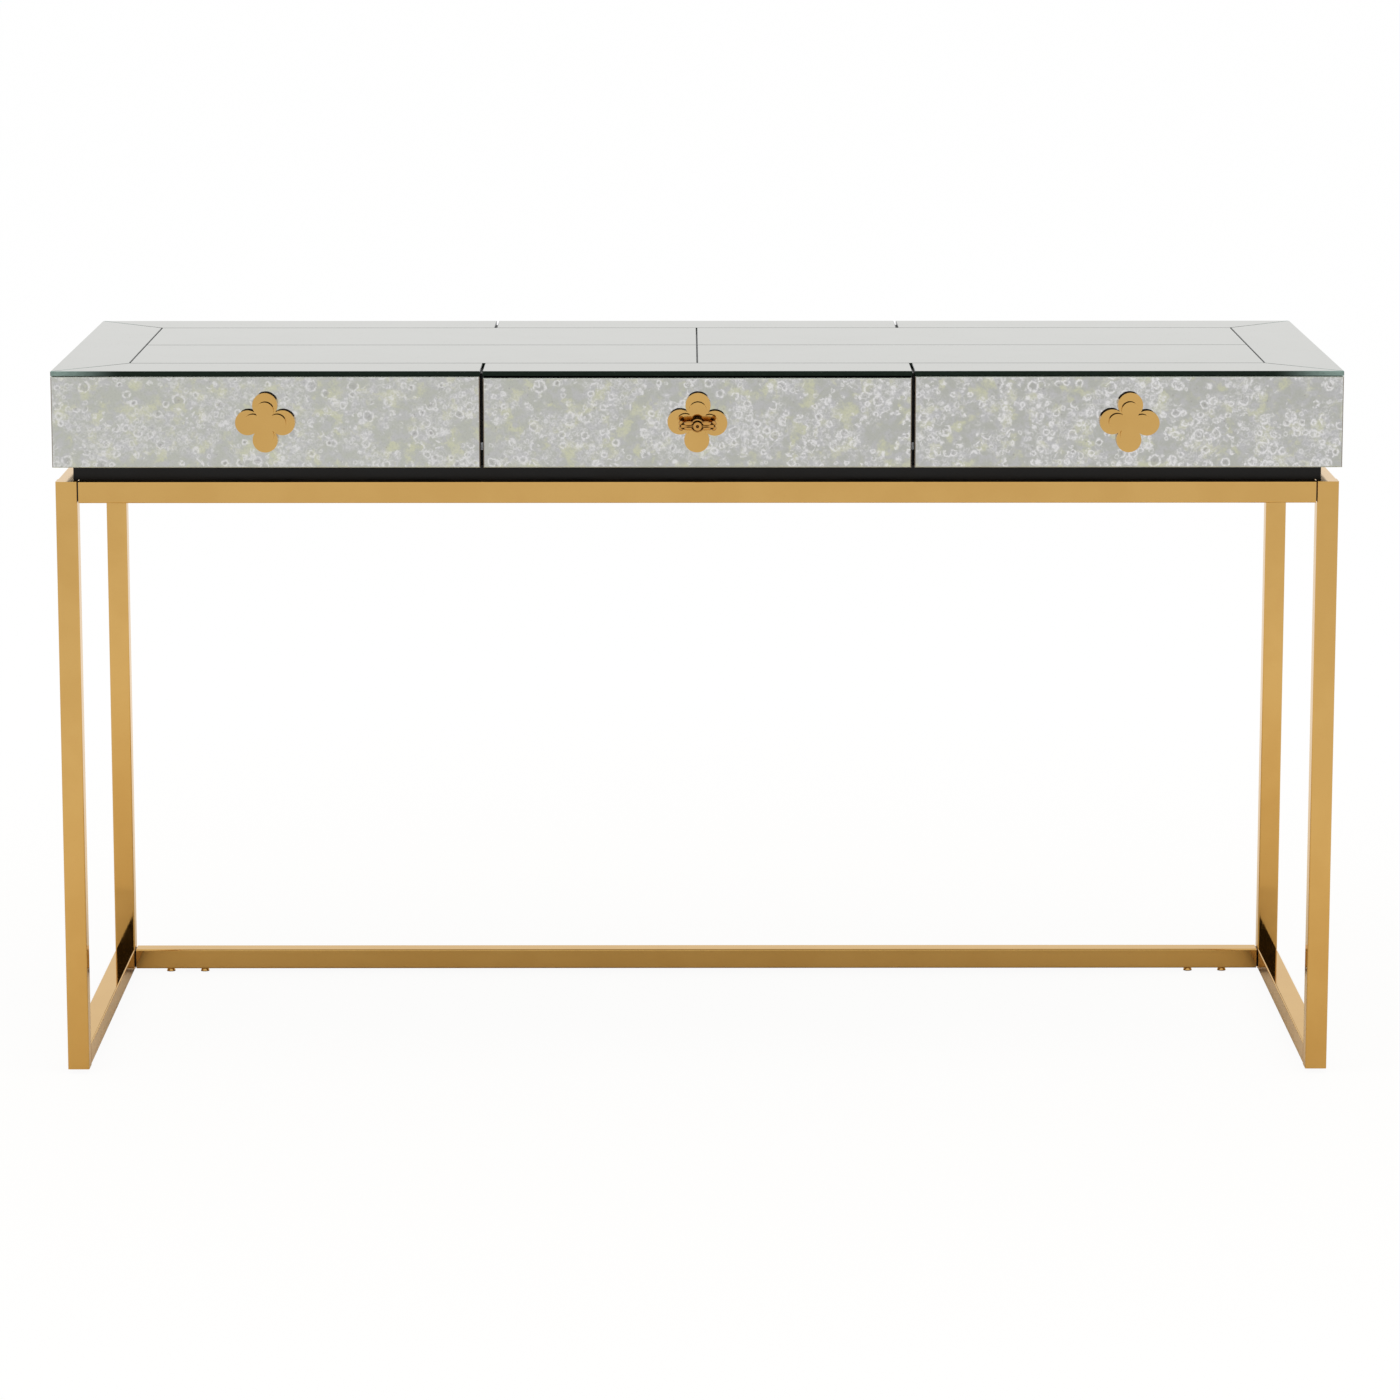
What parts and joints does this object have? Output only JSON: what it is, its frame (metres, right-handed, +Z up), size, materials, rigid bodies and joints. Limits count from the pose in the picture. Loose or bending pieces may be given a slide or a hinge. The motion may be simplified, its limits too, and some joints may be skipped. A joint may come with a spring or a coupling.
{
  "type": "vanity table",
  "caption": "Shallow dressing table clad in antiqued mirror glass, with quatrefoil knobs, a keyed drawer and an open frame of square brass tube.",
  "frame": {"origin": "on the floor under the middle of the whole outline, the key included", "axes": "+X to the right along the fronts, +Y from the drawer fronts to the back, +Z up"},
  "size_m": [1.372, 0.549, 0.767],
  "materials": {
    "antique_mirror": "antiqued silvering with pale rings and olive blotches under clear glass",
    "top_mirror": "pale, lightly antiqued silvering under clear glass",
    "frame_brass": "polished brass plating on steel tube",
    "hardware_brass": "polished solid brass",
    "black_lacquer": "satin black lacquer on board",
    "drawer_birch": "clear lacquered birch plywood",
    "slide_steel": "zinc plated"
  },
  "bodies": {
    "desk": {"leg_front_left": "frame_brass", "leg_front_right": "frame_brass", "leg_rear_left": "frame_brass", "leg_rear_right": "frame_brass", "side_rail_left": "frame_brass", "side_rail_right": "frame_brass", "floor_runner_left": "frame_brass", "floor_runner_right": "frame_brass", "front_rail": "frame_brass", "rear_rail": "frame_brass", "rear_stretcher": "frame_brass", "rail_stubs": "slide_steel", "frame_screws": "frame_brass", "glides": "frame_brass", "plinth": "black_lacquer", "bottom_board": "black_lacquer", "top_board": "black_lacquer", "side_board_left": "black_lacquer", "side_board_right": "black_lacquer", "back_board": "black_lacquer", "divider_left": "black_lacquer", "divider_right": "black_lacquer", "front_bumpers": "slide_steel", "top_end_left": "top_mirror", "top_end_right": "top_mirror", "top_front_left": "top_mirror", "top_front_middle": "top_mirror", "top_front_right": "top_mirror", "top_rear_left": "top_mirror", "top_rear_middle": "top_mirror", "top_rear_right": "top_mirror", "top_field_panes": "top_mirror", "side_mirror_left": "antique_mirror", "side_mirror_right": "antique_mirror", "cabinet_slides": "slide_steel", "lock_strike": "hardware_brass"},
    "drawer_left": {"drawer_left_front": "black_lacquer", "drawer_left_mirror": "antique_mirror", "drawer_left_knob": "hardware_brass", "drawer_left_sides": "drawer_birch", "drawer_left_back": "drawer_birch", "drawer_left_bottom": "drawer_birch", "drawer_left_slides": "slide_steel"},
    "drawer_middle": {"drawer_middle_front": "black_lacquer", "drawer_middle_mirror": "antique_mirror", "drawer_middle_knob": "hardware_brass", "drawer_middle_sides": "drawer_birch", "drawer_middle_back": "drawer_birch", "drawer_middle_bottom": "drawer_birch", "drawer_middle_slides": "slide_steel", "lock_case": "hardware_brass"},
    "drawer_right": {"drawer_right_front": "black_lacquer", "drawer_right_mirror": "antique_mirror", "drawer_right_knob": "hardware_brass", "drawer_right_sides": "drawer_birch", "drawer_right_back": "drawer_birch", "drawer_right_bottom": "drawer_birch", "drawer_right_slides": "slide_steel"},
    "key": {"key": "hardware_brass"},
    "lock_bolt": {"lock_bolt": "hardware_brass"}
  },
  "joints": [
    {"name": "drawer_left_slide", "type": "slide", "parent": "desk", "child": "drawer_left", "axis": [0, -1, 0], "range_m": [0, 0.315]},
    {"name": "drawer_middle_slide", "type": "slide", "parent": "desk", "child": "drawer_middle", "axis": [0, -1, 0], "range_m": [0, 0.315]},
    {"name": "drawer_right_slide", "type": "slide", "parent": "desk", "child": "drawer_right", "axis": [0, -1, 0], "range_m": [0, 0.315]},
    {"name": "key_turn", "type": "hinge", "parent": "drawer_middle", "child": "key", "pos_m": [0, -0.2335, 0.713], "axis": [0, 1, 0], "range_deg": [0, 90]},
    {"name": "bolt_lift", "type": "slide", "parent": "drawer_middle", "child": "lock_bolt", "axis": [0, 0, 1], "range_m": [0, 0.009]}
  ],
  "couplings": [
    {"joint": "key_turn", "follows": "bolt_lift", "rad_per_m": 174.53}
  ]
}
